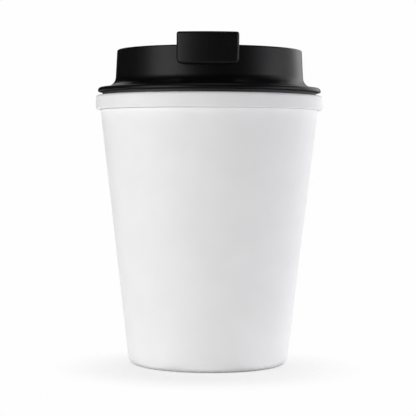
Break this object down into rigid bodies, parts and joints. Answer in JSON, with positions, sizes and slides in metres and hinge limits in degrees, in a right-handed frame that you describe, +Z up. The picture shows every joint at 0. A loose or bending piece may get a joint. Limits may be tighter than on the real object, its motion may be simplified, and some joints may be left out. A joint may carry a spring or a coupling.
{
  "type": "reusable travel cup",
  "caption": "Tapered double-wall plastic travel cup with a screw lid, a hinged flip closure over the drinking slot and a soft stopper.",
  "frame": {"origin": "centre of the foot, on the surface that the cup stands on", "axes": "+Z up along the cup's axis, the tab of the flip closure faces -Y, +X to the right of it seen from the front"},
  "size_m": [0.092, 0.092, 0.1321],
  "materials": {
    "white_plastic": "fine matt",
    "black_plastic": "fine matt",
    "silicone": "soft matt"
  },
  "bodies": {
    "cup": {"outer_shell": "white_plastic", "inner_cup": "white_plastic"},
    "seal": {"lid_seal": "silicone"},
    "lid": {"lid": "black_plastic"},
    "flap": {"flap": "black_plastic", "stopper": "silicone"}
  },
  "joints": [
    {"name": "lid_rise", "type": "slide", "parent": "cup", "child": "seal", "axis": [0, 0, 1], "range_m": [0, 0.0135]},
    {"name": "lid_turn", "type": "hinge", "parent": "seal", "child": "lid", "pos_m": [0, 0, 0.11], "axis": [0, 0, 1], "range_deg": [0, 360]},
    {"name": "flap_open", "type": "hinge", "parent": "lid", "child": "flap", "pos_m": [0, -0.0243, 0.1235], "axis": [-1, 0, 0], "range_deg": [0, 120]}
  ],
  "couplings": [
    {"joint": "lid_rise", "follows": "lid_turn", "m_per_rad": 0.0021486}
  ]
}
